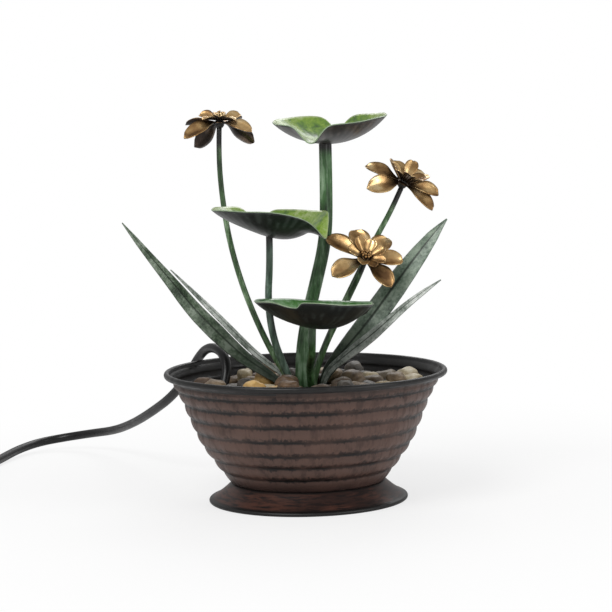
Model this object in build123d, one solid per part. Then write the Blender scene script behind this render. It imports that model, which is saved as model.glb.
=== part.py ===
from build123d import *
import math
import os
import random

# Table-top water-lily fountain in sheet metal, with its submersible pump.
# Millimetres, +Z up. The origin is the centre of the foot's resting ring, on the table.

# ---------------------------------------------------------------- bowl and foot
sheet = 1.2                 # sheet metal of bowl and foot
neck_radius = 58.0          # seam between bowl and foot
neck_height = 15.0
groove_radii = [64.2, 71.0, 78.3, 83.6, 87.8, 91.6, 95.0]
groove_heights = [22.6, 32.6, 43.3, 54.4, 65.8, 76.3, 86.0]
band_bulge = 1.6            # how far each turned band stands out between its grooves
shoulder_radius = 98.6      # where the bands end and the rim flares out
shoulder_height = 91.4
rim_radius = 107.5
rim_height = 98.2
rim_bead = 2.2              # radius of the rolled edge
foot_radius = 75.75
foot_bead = 1.5             # radius of the foot's rolled edge
foot_flange = 8.0           # width of the foot's ring under the bowl

# ---------------------------------------------------------------- pebble tray
fit = 0.3                   # gap between pieces of different bodies
seat_groove = 5             # the groove (from the bottom, counting from 0) that the tray sits at
tray_thick = 2.0
tray_skirt = 1.5
tray_hole = 5.0             # diameter of a drain hole
hub_radius = 19.0
hub_thick = 2.0
cord_slot = 11.0            # width of the tray's slot for the cord

# ---------------------------------------------------------------- plant
stem_tube = 9.5             # outside diameter of the water stem
stem_bore = 7.0
stem_tail = 5.5             # how far the water stem reaches below the tray
leaf_rod = 4.8
low_leaf_rod = 5.5
flower_rod = 3.8
leaf_sheet = 0.9
leaf_depth = 19.0
weld_gap = 0.05             # play of a rod in the hole that it is brazed into
spill_width = 15.0
spill_depth = 14.0
back_notch_width = 9.0
back_notch_depth = 7.0
petal_sheet = 0.8
flower_radius = 28.0
petal_width = 13.5
bud_radius = 15.0
bud_width = 9.0
bud_rise = 1.2              # space between the outer and the inner petals' sheets
blade_sheet = 1.0
fold_angle = 24.0           # how far each half of a blade leaf is folded up
stone_gap = 0.3
# where on a falling stone, from its middle to its outline, it is tried against those below it
settle_rings = (0, 0.3, 0.55, 0.75, 0.87, 0.94, 0.98, 1)
settle_turns = 24

# ---------------------------------------------------------------- pump
pump_x = -3.0               # the pump's axis runs along Y, at this X
pump_axis = 42.5            # height of the impeller's axis
pump_width = 34.0
pump_rear = -34.0
pump_front = 8.0
pump_bottom = 23.6
pump_top = 58.0
pump_wall = 2.0
pump_edge = 3.0
chamber_radius = 10.5
chamber_back = -7.0
boss_length = 3.0
boss_wall = 1.7
cover_flange = 12.5         # radius of the chamber cover's flange
cover_flange_thick = 1.5
rotor_radius = 6.2
rotor_length = 19.0
rotor_gap = 0.4
rotor_tube_wall = 1.2
shaft_radius = 1.0
shaft_play = 0.06
bush_radius = 2.6
bush_length = 3.0
impeller_radius = 9.3
vane_count = 6
nozzle_radius = 4.4
nozzle_bore = 3.1
nozzle_height = 11.0
hose_wall = 1.3
cup_radius = 6.0
cup_spread_x = 11.0
cup_spread_y = 13.0
cover_depth = 14.0          # intake cover, along Y
cover_wall = 1.6
slot_width = 4.0
slot_pitch = 8.0
slot_height = 15.0
gate_thick = 1.2
gate_travel = 4.0

# ---------------------------------------------------------------- mains cord
cord = 7.5                  # diameter
cord_rest = cord / 2 + 0.05
# From the gland up through the tray's slot, over the rim, down to the table and to the coil.
cord_route = [
    (-31, -28, 36), (-50, -28, 36), (-65, -15, 44), (-69, 4, 60), (-65, 16, 80), (-60, 23, 98),
    (-64, 32, 111.5), (-75.5, 47, 114.5), (-86, 64, 105.5), (-103, 86, 83), (-117, 112, 62.5),
    (-133, 150, 48), (-152, 196, 33.5), (-172, 238, 22), (-195, 266, 16), (-222, 278, 11), (-245, 268, 8.5),
    (-259, 242, 6.5), (-266, 215, 5), (-271, 192, 4.1), (-276, 170, cord_rest),
]
coil_centre = (-318.0, 150.0)
coil_radii = [33.4, 41.0]
coil_top_radius = 37.2
plug_axis = (-284.0, 12.7)  # X and height of the plug's axis, which runs along Y
plug_tail = 90.0            # Y where the cord enters the plug
plug_relief = 24.0
plug_length = 36.0
plug_width = 26.0
plug_height = 25.0
blade_spacing = 12.7        # flat mains blades, centre to centre
blade_size = (1.5, 17.5, 6.3)
ground_pin_radius = 2.4
ground_pin_length = 20.5
ground_pin_drop = 5.9
tail_route = [
    (coil_centre[0] + coil_top_radius, 152, 18.8), (-281.6, 134, 18.6),
    (plug_axis[0], plug_tail + 20, plug_axis[1]), (plug_axis[0], plug_tail, plug_axis[1]),
]


# ================================================================ helpers
def corner_radii(points):
    """Largest arc that each corner of a route has room for."""
    spots = [Vector(*p) for p in points]
    radii = []
    for before, here, after in zip(spots, spots[1:], spots[2:]):
        run_in = here - before
        run_out = after - here
        half_turn = math.radians(run_in.get_angle(run_out)) / 2
        radii.append(0.45 * min(run_in.length, run_out.length) / math.tan(half_turn))
    return radii


def bent_path(points):
    """Straight runs joined by tangent arcs."""
    return FilletPolyline(*points, radius=corner_radii(points))


def bent_bar(points, radius, bore=0.0):
    """Round bar or tube along a bent path."""
    path = bent_path(points)
    start = Plane(origin=path @ 0, z_dir=path % 0)
    bar = sweep(sections=start * Circle(radius), path=path)
    if bore:
        bar -= sweep(sections=start * Circle(bore), path=path)
    return bar


def turned(outline, low=0.0, high=360.0):
    """Closed outline in the XZ plane, turned about Z."""
    profile = make_face(outline)
    return revolve(Rot(0, 0, low) * profile, Axis.Z, high - low)


def disc(radius, low, high, x=0.0, y=0.0):
    """Upright cylinder between two heights."""
    return Pos(x, y, (low + high) / 2) * Cylinder(radius, high - low)


def lying(radius, back, front, z=pump_axis, x=pump_x):
    """Cylinder along Y between two places."""
    return Pos(x, (back + front) / 2, z) * Rot(90, 0, 0) * Cylinder(radius, front - back)


def block(low, high):
    """Box between two corners."""
    size = [b - a for a, b in zip(low, high)]
    middle = [(a + b) / 2 for a, b in zip(low, high)]
    return Pos(*middle) * Box(*size)


def save(shape, node):
    export_step(shape, f"parts/{node}.step")


# ================================================================ bowl and foot
def wall_line(inset):
    """Edges of the bowl's wall from the floor to the rim, moved inwards by inset."""
    radii = [neck_radius] + groove_radii + [shoulder_radius]
    heights = [neck_height + inset] + groove_heights + [shoulder_height]
    spots = [(r - inset, 0, z) for r, z in zip(radii, heights)]
    edges = []
    for (r0, _, z0), (r1, _, z1) in zip(spots, spots[1:]):
        run = math.hypot(r1 - r0, z1 - z0)
        out = band_bulge if z0 > neck_height + inset else band_bulge / 2
        middle = ((r0 + r1) / 2 + out * (z1 - z0) / run, 0, (z0 + z1) / 2 - out * (r1 - r0) / run)
        edges.append(ThreePointArc((r0, 0, z0), middle, (r1, 0, z1)))
    return edges, spots[0], spots[-1]


def make_bowl():
    outer, outer_floor, outer_top = wall_line(0.0)
    inner, inner_floor, inner_top = wall_line(sheet)
    bead_centre = (rim_radius - rim_bead, 0, rim_height - rim_bead)
    lip_out = (bead_centre[0], 0, bead_centre[2] - sheet / 2)
    lip_in = (bead_centre[0] - sheet / 2, 0, bead_centre[2] + sheet / 2)
    outline = [
        Line((0, 0, neck_height), outer_floor), *outer, Line(outer_top, lip_out), Line(lip_out, lip_in),
        Line(lip_in, inner_top), *inner, Line(inner_floor, (0, 0, neck_height + sheet)),
        Line((0, 0, neck_height + sheet), (0, 0, neck_height)),
    ]
    bead = Pos(0, 0, bead_centre[2]) * Torus(bead_centre[0], rim_bead)
    return turned(outline) + bead


def make_foot():
    inside = neck_radius - foot_flange
    edge = foot_radius - foot_bead
    outline = Polyline(
        (inside, 0, neck_height), (neck_radius, 0, neck_height), (edge + 0.6, 0, foot_bead),
        (edge - 0.9, 0, foot_bead), (neck_radius - 0.7, 0, neck_height - sheet),
        (inside, 0, neck_height - sheet), close=True,
    )
    bead = Pos(0, 0, foot_bead) * Torus(edge, foot_bead)
    rest = turned(Polyline((edge - 0.8, 0, 0), (edge + 0.8, 0, 0), (edge + 0.8, 0, foot_bead),
                           (edge - 0.8, 0, foot_bead), close=True))
    return turned(outline) + bead + rest


# ================================================================ tray
def tray_bottom():
    return groove_heights[seat_groove]


def tray_top():
    return tray_bottom() + tray_thick


def hub_top():
    return tray_top() + hub_thick


def slot_cut():
    """The slot that lets the tray rise past the cord, cut right out to the tray's edge."""
    low = groove_heights[seat_groove - 1] - 5
    high = tray_top() + 5
    spots = [(-68, 8), (-60.5, 23), (-65.5, 35), (-94, 75)]
    cut = Part()
    for (x0, y0), (x1, y1) in zip(spots, spots[1:]):
        length = math.hypot(x1 - x0, y1 - y0)
        turn = math.degrees(math.atan2(y1 - y0, x1 - x0))
        bar = Rot(0, 0, turn) * Box(length, cord_slot, high - low)
        cut += Pos((x0 + x1) / 2, (y0 + y1) / 2, (low + high) / 2) * bar
        cut += disc(cord_slot / 2, low, high, x0, y0)
    return cut


def make_tray():
    seat = groove_radii[seat_groove] - sheet - fit
    lower = groove_radii[seat_groove - 1] - sheet - fit
    skirt_drop = (groove_heights[seat_groove] - groove_heights[seat_groove - 1]) * 0.6
    skirt_in = (seat - lower) * 0.6
    top = tray_top()
    bottom = tray_bottom()
    outline = Polyline(
        (0, 0, top), (seat, 0, top), (seat, 0, bottom), (seat - skirt_in, 0, bottom - skirt_drop),
        (seat - skirt_in - tray_skirt, 0, bottom - skirt_drop), (seat - tray_skirt, 0, bottom),
        (0, 0, bottom), close=True,
    )
    tray = turned(outline)
    holes = [disc(stem_tube / 2 + weld_gap, bottom - 1, top + 1, main_stem_route()[0][0], 0)]
    for ring, count in ((30, 8), (48, 12), (66, 18), (80, 22)):
        for step in range(count):
            angle = 2 * math.pi * step / count
            x = ring * math.cos(angle)
            y = ring * math.sin(angle)
            holes.append(disc(tray_hole / 2, bottom - 1, top + 1, x, y))
    return tray - holes - slot_cut()


def make_hub():
    plate = disc(hub_radius, tray_top(), hub_top())
    return plate - disc(stem_tube / 2 + weld_gap, tray_top() - 1, hub_top() + 1, main_stem_route()[0][0], 0)


# ================================================================ stems
def main_stem_route():
    return [(pump_x, 0, tray_bottom() - stem_tail), (pump_x, 0, 104), (0.5, 0, 133), (7.4, 0, 163),
            (16.4, 0, 196), (19.3, 0, 228), (19.3, 0, 272)]


def middle_leaf_stem_route():
    return [(-11, -8, hub_top()), (-11, -8, 90), (-16, -11, 103), (-24, -16, 124), (-28, -19, 152),
            (-25.3, -28, 182), (-25.3, -28, 203)]


def low_leaf_stem_route():
    return [(4, -9, hub_top()), (4, -9, 91), (5, -22, 103), (8, -46, 113), (8.5, -52, 124), (8.5, -52, 137.5)]


def flower_stem_routes():
    """Base first; the last point is inside the flower's boss."""
    top = hub_top()
    return {
        "left": [(-12, 6, top), (-12, 6, 90), (-24, 9, 109), (-37, 13, 137), (-48, 16, 167),
                 (-56.5, 18, 201), (-61, 18, 238), (-61.8, 15, 266), (-60.8, 14, 284)],
        "right": [(5, 6, top), (5, 6, 90), (15.5, 8, 112.5), (30, 10, 138), (48, 12, 170),
                  (60.5, 12, 198.5), (69, 10, 218), (76, 8, 234.5)],
        "front": [(5.5, -3, top), (5.5, -3, 90), (15, -6, 117), (26, -8, 138), (35, -10, 156),
                  (43, -14, 172), (46.5, -17, 181)],
    }


# ================================================================ leaf cups
def leaf_cup(rim, spill_angle, back_angle):
    """Shallow cup of thin sheet, its rim at height 0, with a spill lip and a small notch."""
    drop = leaf_depth
    ball = (rim ** 2 + drop ** 2) / (2 * drop)
    reach = math.asin(rim / ball)
    outer_mid = (ball * math.sin(reach / 2), 0, ball - drop - ball * math.cos(reach / 2))
    small = ball - leaf_sheet
    inner_reach = math.acos((ball - drop) / small)
    inner_mid = (small * math.sin(inner_reach / 2), 0, ball - drop - small * math.cos(inner_reach / 2))
    inner_rim = (small * math.sin(inner_reach), 0, 0)
    outline = [
        ThreePointArc((0, 0, -drop), outer_mid, (rim, 0, 0)), Line((rim, 0, 0), inner_rim),
        ThreePointArc(inner_rim, inner_mid, (0, 0, leaf_sheet - drop)),
        Line((0, 0, leaf_sheet - drop), (0, 0, -drop)),
    ]
    cup = turned(outline)
    cuts = [(spill_angle, spill_width, spill_depth), (back_angle, back_notch_width, back_notch_depth)]
    for angle, width, depth in cuts:
        corners = Polyline((-width / 2, 1), (width / 2, 1), (0, -depth), close=True)
        wedge = extrude(Plane.YZ * make_face(corners), rim + 5)
        cup -= Rot(0, 0, angle) * wedge
    return cup


leaf_places = {
    # name: centre of the rim, rim radius, tilt about X and Y, angle of the spill lip, angle of the notch
    "top": ((23.0, 0.0, 288.0), 42.6, -3.0, -4.0, 246.0, 80.0),
    "middle": ((-22.6, -28.0, 221.0), 43.4, -3.0, 3.6, -8.0, 108.0),
    "low": ((7.6, -52.0, 154.5), 43.2, -3.0, 2.9, 254.0, 5.0),
}


def make_leaf(name, rod_radius, rod_top):
    centre, radius, tilt_x, tilt_y, spill, back = leaf_places[name]
    cup = Pos(*centre) * Rot(tilt_x, tilt_y, 0) * leaf_cup(radius, spill, back)
    hole = disc(rod_radius + weld_gap, rod_top[2] - 12, rod_top[2] + 4, rod_top[0], rod_top[1])
    return cup - hole


# ================================================================ flowers
def petal_ring(tip, width, root, ball, petal_count, lift):
    """Six spoon petals stamped from one sheet, around a flat disc at height 0."""
    middle = root + (tip - root) * 0.56
    spoon = Pos(middle, 0) * Ellipse(tip - middle, width / 2)
    neck = make_face(Polyline((root - 1.5, -width * 0.2), (middle, -width * 0.38), (middle, width * 0.38),
                              (root - 1.5, width * 0.2), close=True))
    prism = extrude(spoon + neck, ball * 0.9)
    shell = Pos(middle, 0, ball) * (Sphere(ball) - Sphere(ball - petal_sheet))
    petal = shell & prism
    rise = ball - math.sqrt(ball ** 2 - (middle - root) ** 2)
    petal = Pos(root, 0, 0) * Rot(0, -lift, 0) * Pos(-root, 0, -rise) * petal
    ring = Pos(0, 0, petal_sheet / 2) * Cylinder(root + 0.6, petal_sheet * 2.4)
    for step in range(petal_count):
        ring += Rot(0, 0, 360 * step / petal_count) * petal
    return ring


disc_half = petal_sheet * 1.2
ring_middle = petal_sheet / 2


def outer_petals(lift):
    ring = petal_ring(flower_radius, petal_width, 5.0, 24.0, 6, lift)
    boss = Pos(0, 0, ring_middle - disc_half - 1.6) * Sphere(3.4)
    return ring + boss


def inner_petals(lift):
    ring = petal_ring(bud_radius, bud_width, 3.4, 14.0, 6, lift)
    spacer = disc(2.8, ring_middle + disc_half, ring_middle + disc_half + bud_rise + 0.2)
    return Rot(0, 0, 30) * Pos(0, 0, 2 * disc_half + bud_rise) * ring + spacer


def stamens():
    low = ring_middle + 3 * disc_half + bud_rise
    cluster = disc(3.0, low, low + 1.2)
    for ring, count in ((0.0, 1), (2.0, 6)):
        for step in range(count):
            angle = 2 * math.pi * step / count
            x = ring * math.cos(angle)
            y = ring * math.sin(angle)
            cluster += disc(0.45, low + 0.5, low + 5.0, x, y)
            cluster += Pos(x, y, low + 5.2) * Sphere(0.8)
    return cluster


flower_places = {
    # name: where the flower sits, tilt about X then Y, lift of the outer and inner petals
    "left": ((-60.6, 14.0, 287.0), 4.0, 3.0, 4.0, 38.0),
    "right": ((77.2, 7.4, 238.0), 18.0, 28.0, 12.0, 40.0),
    "front": ((47.4, -18.6, 184.0), 46.0, 10.0, 10.0, 38.0),
}


# ================================================================ blade leaves
def blade_leaf(spine, widths, roll):
    """Tapered strip folded along its middle; spine runs from the hub to the tip."""
    spots = [Vector(*p) for p in spine]
    sections = []
    for index, (spot, width) in enumerate(zip(spots, widths)):
        ahead = spots[min(index + 1, len(spots) - 1)]
        behind = spots[max(index - 1, 0)]
        along = (ahead - behind).normalized() if index else Vector(0, 0, 1)
        across = Vector(0, 1, 0).cross(along).normalized()
        turned_by = math.radians(roll)
        side = across * math.cos(turned_by) + Vector(0, 1, 0) * math.sin(turned_by)
        side = (side - along * side.dot(along)).normalized()
        face = along.cross(side)
        rise = math.sin(math.radians(fold_angle)) * width / 2
        reach = math.cos(math.radians(fold_angle)) * width / 2
        low = -rise / 2
        high = rise / 2
        ring = [side * -reach + face * high, face * low, side * reach + face * high,
                side * reach + face * (high + blade_sheet), face * (low + blade_sheet),
                side * -reach + face * (high + blade_sheet)]
        sections.append(make_face(Polyline(*[spot + p for p in ring], close=True)))
    return loft(sections, ruled=True)


def blade_leaves():
    top = hub_top()
    return {
        "left_broad": blade_leaf(
            [(-16.2, -2, top), (-17.5, -2, 89), (-33, -2, 100), (-49, -2, 111.5), (-73, -2, 136),
             (-84, -2, 148), (-98.5, -2, 167), (-113, -2, 185), (-124, -2, 199), (-135.4, -2, 213.7)],
            [4, 5, 8, 11, 16, 16, 13.5, 11, 8, 1.2], 40),
        "left_slim": blade_leaf(
            [(-12.5, 13, top), (-14, 12.5, 92), (-30, 13, 104), (-42.5, 14, 115), (-60, 17, 133.5),
             (-78.5, 20, 152.5), (-91, 23, 165), (-102, 25, 176)], [4, 4.5, 6.5, 7, 7, 6, 4, 1.2], 50),
        "right_broad": blade_leaf(
            [(12, 4, top), (12.5, 4, 93), (30.5, 5, 113), (47, 6, 131), (64, 7, 153), (78, 8, 171.5),
             (92, 8, 189), (103, 8, 202.5), (110.4, 8, 210.2)],
            [4, 6, 14, 19, 21.5, 19, 14.5, 8.5, 1.2], -35),
        "right_slim": blade_leaf(
            [(12, -7, top), (12.5, -8, 95), (30, -11, 109.5), (50.5, -15, 125), (64, -18, 137),
             (78, -20, 149), (94, -22, 160.5), (102.7, -22, 166)], [4, 5, 10, 12, 11, 8, 5.5, 1.2], -50),
    }


# ================================================================ pebbles
def cord_corridor_clear(x, y, reach):
    """True where a stone of that reach stays out of the way of the cord and the stems."""
    lane = [(-68, 9), (-64, 16), (-60.5, 23), (-65, 34), (-74, 47), (-82, 58)]
    if any(math.hypot(x - a, y - b) < reach + cord / 2 + 3.2 for a, b in lane):
        return False
    posts = [(main_stem_route()[0][0], 0, stem_tube / 2), (-13, -9, 4.5), (4, -13, 7.5), (-15, 7, 5.5),
             (8, 7, 5.5), (8.5, -4, 5.5), (-18, -2, 5.5), (-14, 13, 5), (13, 4, 6), (13.5, -8, 6)]
    return all(math.hypot(x - a, y - b) > reach + r + 0.4 for a, b, r in posts)


def stone_size(draw):
    """Half axes of a river pebble."""
    long_half = draw.uniform(7.2, 10.6)
    return long_half, long_half * draw.uniform(0.72, 0.9), draw.uniform(5.2, 6.6)


def edge_share(stone, x, y):
    """0 at the stone's middle, 1 at its outline seen from above."""
    sx, sy, _, a, b, _, turn = stone
    u = (x - sx) * math.cos(turn) + (y - sy) * math.sin(turn)
    v = (y - sy) * math.cos(turn) - (x - sx) * math.sin(turn)
    return (u / (a + stone_gap)) ** 2 + (v / (b + stone_gap)) ** 2


def settle(stone, bed, floor):
    """Height at which a stone dropped at its place comes to rest."""
    x, y, _, a, b, c, turn = stone
    height = floor + c + stone_gap / 2
    near = [s for s in bed if math.hypot(s[0] - x, s[1] - y) < s[3] + a + stone_gap]
    for ring in settle_rings:
        for step in range(settle_turns):
            angle = 2 * math.pi * step / settle_turns
            u = a * ring * math.cos(angle)
            v = b * ring * math.sin(angle)
            px = x + u * math.cos(turn) - v * math.sin(turn)
            py = y + u * math.sin(turn) + v * math.cos(turn)
            for s in near:
                share = edge_share(s, px, py)
                if share < 1:
                    stack = s[5] * math.sqrt(1 - share) + c * math.sqrt(1 - ring ** 2)
                    height = max(height, s[2] + stack + stone_gap)
    return height


def pebble_bed():
    """Stones dropped one by one on the tray; each is x, y, z, half axes and turn."""
    draw = random.Random(5)
    floor = tray_top()
    wall = groove_radii[seat_groove] - sheet - 0.8
    bed = []
    for limit, tries in ((floor + 7.4, 4000), (floor + 13.0, 2600), (floor + 15.5, 60)):
        for _ in range(tries):
            a, b, c = stone_size(draw)
            radius = wall * math.sqrt(draw.random())
            angle = draw.uniform(0, 2 * math.pi)
            turn = draw.uniform(0, math.pi)
            x = radius * math.cos(angle)
            y = radius * math.sin(angle)
            if radius + a > wall or not cord_corridor_clear(x, y, a):
                continue
            base = hub_top() if radius < hub_radius + a else floor
            height = settle((x, y, 0, a, b, c, turn), bed, base)
            if height <= limit:
                bed.append((x, y, height, a, b, c, turn))
    return bed


def make_stone(stone):
    x, y, z, a, b, c, turn = stone
    return Pos(x, y, z) * Rot(0, 0, math.degrees(turn)) * scale(Sphere(1), by=(a, b, c))


# ================================================================ pump
def half_width():
    return pump_width / 2


def rotor_bore():
    return rotor_radius + rotor_gap


def rotor_back():
    return chamber_back - 0.5 - rotor_length


def bush_back():
    return rotor_back() - 0.6 - bush_length


def cavity_box():
    return block((pump_x - half_width() + pump_wall, pump_rear, pump_bottom + pump_wall),
                 (pump_x + half_width() - pump_wall, chamber_back - pump_wall, pump_top - pump_wall))


def rotor_tube():
    return lying(rotor_bore() + rotor_tube_wall, bush_back() - 1.2, chamber_back)


def make_housing():
    shell = block((pump_x - half_width(), pump_rear, pump_bottom),
                  (pump_x + half_width(), pump_front, pump_top))
    shell = fillet(shell.edges().filter_by(Axis.Y), pump_edge)
    boss_half = cover_flange + boss_wall + 0.2
    boss = block((pump_x - boss_half, pump_front, pump_axis - boss_half + 3),
                 (pump_x + boss_half, pump_front + boss_length,
                  min(pump_axis + boss_half, pump_top - pump_wall - 0.4)))
    nozzle = disc(nozzle_radius, pump_top - 1, pump_top + nozzle_height, pump_x, 0)
    barbs = [Pos(pump_x, 0, pump_top + h) * Cone(nozzle_radius + 0.25, nozzle_radius, 2) for h in (4, 7, 10)]
    shell = shell - cavity_box() + rotor_tube() + boss + nozzle + barbs
    shell -= lying(rotor_bore(), rotor_back() - 0.6, pump_front)
    shell -= lying(bush_radius, bush_back(), rotor_back())
    shell -= lying(chamber_radius, chamber_back, pump_front + 2)
    shell -= lying(cover_flange, pump_front + boss_length - cover_flange_thick, pump_front + boss_length + 3)
    shell -= disc(nozzle_bore, pump_axis, pump_top + nozzle_height + 1, pump_x, 0)
    shell -= gland_hole()
    return shell


def gland_hole():
    _, y, z = cord_route[0]
    left = pump_x - half_width()
    return Pos(left + 1, y, z) * Rot(0, 90, 0) * Cylinder(5.0, 2 * pump_wall + 2)


def make_gland():
    """Tapered rubber relief from inside the housing's wall to the cord."""
    x, y, z = cord_route[0]
    left = pump_x - half_width()
    stub = Pos(left + pump_wall / 2, y, z) * Rot(0, 90, 0) * Cylinder(5.0, pump_wall)
    collar = Pos(left - 1.25, y, z) * Rot(0, 90, 0) * Cylinder(6.5, 2.5)
    length = left - 2.5 - x
    taper = Pos(left - 2.5 - length / 2, y, z) * Rot(0, -90, 0) * Cone(5.8, 4.6, length)
    return stub + collar + taper


def core_legs():
    """Laminated U core: yoke below, one leg each side of the rotor."""
    inner = rotor_bore() + rotor_tube_wall + 0.3
    back = chamber_back - pump_wall - 15
    front = chamber_back - pump_wall - 3
    low = pump_bottom + pump_wall + 0.8
    yoke = block((pump_x - inner - 4.5, back, low), (pump_x + inner + 4.5, front, low + 5))
    legs = [block((pump_x + side * (inner + 2.25) - 2.25, back, low + 5),
                  (pump_x + side * (inner + 2.25) + 2.25, front, pump_axis + 8)) for side in (-1, 1)]
    return yoke + legs


def coil_winding():
    """Copper winding around the yoke, between the legs."""
    inner = rotor_bore() + rotor_tube_wall + 0.3
    back = chamber_back - pump_wall - 15
    front = chamber_back - pump_wall - 3
    low = pump_bottom + pump_wall + 0.8
    top = pump_axis - rotor_bore() - rotor_tube_wall - 0.3
    wound = block((pump_x - inner + 0.4, back - 2, low - 0.6), (pump_x + inner - 0.4, front + 2, top))
    return wound - core_legs()


def make_potting():
    """Resin that seals the motor's cavity."""
    resin = cavity_box() - rotor_tube() - core_legs() - coil_winding()
    return resin - gland_hole()


def make_chamber_cover():
    back = pump_front + boss_length - cover_flange_thick
    flange = lying(cover_flange - 0.05, back, back + cover_flange_thick)
    spigot = lying(chamber_radius - 0.15, back - 4, back)
    ring = flange + spigot - lying(6.5, back - 5, back + 3)
    hub = lying(bush_radius + 1.2, back - 4, back + cover_flange_thick)
    arm = block((2.6, -2.7, -0.9), (7.2, 2.7, 0.9))
    arms = [Pos(pump_x, back - 1.25, pump_axis) * Rot(0, 120 * k + 90, 0) * arm for k in range(3)]
    cover = ring + hub + arms
    cover -= lying(bush_radius, back - 5, back + 0.5)
    cover -= lying(chamber_radius + 1, back - 3, back - 1) - lying(chamber_radius - 1.6, back - 4, back)
    return cover


def make_o_ring():
    back = pump_front + boss_length - cover_flange_thick
    return Pos(pump_x, back - 2, pump_axis) * Rot(90, 0, 0) * Torus(chamber_radius - 0.85, 0.72)


def make_shaft():
    front = pump_front + boss_length - cover_flange_thick + 0.2
    return lying(shaft_radius, bush_back() + 0.3, front)


def make_bushes():
    front = pump_front + boss_length - cover_flange_thick
    rear = lying(bush_radius - 0.02, bush_back(), bush_back() + bush_length)
    fore = lying(bush_radius - 0.02, front - 3.8, front + 0.4)
    bore = lying(shaft_radius + 0.01, bush_back() - 1, front + 1)
    return Compound(children=[rear - bore, fore - bore])


def make_rotor():
    magnet = lying(rotor_radius, rotor_back(), rotor_back() + rotor_length)
    return magnet - lying(shaft_radius + shaft_play, rotor_back() - 1, chamber_back + 1)


def make_impeller():
    start = rotor_back() + rotor_length
    plate = lying(4.0, start, chamber_back + 0.6)
    plate += lying(impeller_radius, chamber_back + 0.6, chamber_back + 1.8)
    wheel = plate + lying(3.0, chamber_back + 1.5, chamber_back + 10)
    for step in range(vane_count):
        vane = block((2.5, 0, -0.6), (impeller_radius - 0.3, 8.5, 0.6))
        wheel += Pos(pump_x, chamber_back + 1.5, pump_axis) * Rot(0, 360 * step / vane_count, 0) * vane
    return wheel - lying(shaft_radius + shaft_play, start - 1, pump_front + 6)


def make_suction_cups():
    floor = neck_height + sheet
    top = pump_bottom
    outline = Polyline(
        (0, 0, top), (3.2, 0, top), (3.2, 0, top - 2), (2.2, 0, top - 3), (2.6, 0, top - 4),
        (cup_radius, 0, floor + 0.6), (cup_radius, 0, floor), (cup_radius - 1, 0, floor),
        (1.5, 0, floor + 2.2),
        (0, 0, floor + 2.4), close=True,
    )
    cup = turned(outline)
    middle = (pump_rear + pump_front) / 2
    return Compound(children=[Pos(pump_x + i * cup_spread_x, middle + j * cup_spread_y, 0) * cup
                              for i in (-1, 1) for j in (-1, 1)])


def cover_back():
    return pump_front + fit


def cover_front():
    return cover_back() + cover_depth


def slot_places():
    return [pump_x + slot_pitch * k - gate_travel / 2 for k in (-1, 0, 1)]


def make_intake_cover():
    left = pump_x - half_width()
    right = pump_x + half_width()
    shell = block((left, cover_back(), pump_bottom), (right, cover_front(), pump_top))
    shell = fillet(shell.edges().filter_by(Axis.Y), pump_edge)
    inside = block((left + cover_wall, cover_back() - 1, pump_bottom + cover_wall),
                   (right - cover_wall, cover_front() - cover_wall, pump_top - cover_wall))
    shell -= fillet(inside.edges().filter_by(Axis.Y), pump_edge - cover_wall)
    middle = (pump_bottom + pump_top) / 2
    for x in slot_places():
        shell -= block((x - slot_width / 2, cover_front() - 3, middle - slot_height / 2),
                       (x + slot_width / 2, cover_front() + 1, middle + slot_height / 2))
    for side in (-1, 1):
        edge = middle + side * (slot_height / 2 + 2.5 + fit)
        low = min(edge, edge + side * 2)
        rail = block((left + 5, cover_front() - 0.5, low),
                     (right - 5, cover_front() + gate_thick + 1.6, low + 2))
        lip_low = min(edge - side * 1.2, edge + side * 2)
        lip = block((left + 5, cover_front() + gate_thick + 2 * fit, lip_low),
                    (right - 5, cover_front() + gate_thick + 1.6, lip_low + 3.2))
        shell += rail + lip
    return shell


def make_sponge():
    left = pump_x - half_width() + cover_wall + fit
    right = pump_x + half_width() - cover_wall - fit
    pad = block((left, pump_front + boss_length + fit + 1.5, pump_bottom + cover_wall + fit),
                (right, cover_front() - cover_wall, pump_top - cover_wall - fit))
    return fillet(pad.edges().filter_by(Axis.Y), pump_edge)


def make_gate():
    middle = (pump_bottom + pump_top) / 2
    reach = slot_pitch + slot_width / 2 + 2
    centre = slot_places()[1]
    back = cover_front() + 0.15
    plate = block((centre - reach, back, middle - slot_height / 2 - 2.5),
                  (centre + reach, back + gate_thick, middle + slot_height / 2 + 2.5))
    for x in slot_places():
        plate -= block((x - slot_width / 2, back - 1, middle - slot_height / 2),
                       (x + slot_width / 2, back + gate_thick + 1, middle + slot_height / 2))
    grip = block((centre - slot_pitch / 2 - 1, back + gate_thick, middle - 5),
                 (centre - slot_pitch / 2 + 1, back + gate_thick + 2.5, middle + 5))
    return plate + grip


def make_hose():
    """Silicone hose from the pump's nozzle to the water stem's tail."""
    tail = main_stem_route()[0][2]
    low = pump_top + 0.5
    high = tray_bottom() - 0.5
    bore_low = nozzle_radius + 0.25 + fit
    bore_high = stem_tube / 2 + weld_gap
    outside = max(bore_low, bore_high) + hose_wall
    hose = disc(outside, low, high, pump_x, 0)
    return hose - disc(bore_low, low - 1, tail, pump_x, 0) - disc(bore_high, tail - 0.5, high + 1, pump_x, 0)


# ================================================================ cord
def make_cord_lead():
    return bent_bar(cord_route, cord / 2)


def make_cord_tail():
    return bent_bar(tail_route, cord / 2)


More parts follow.
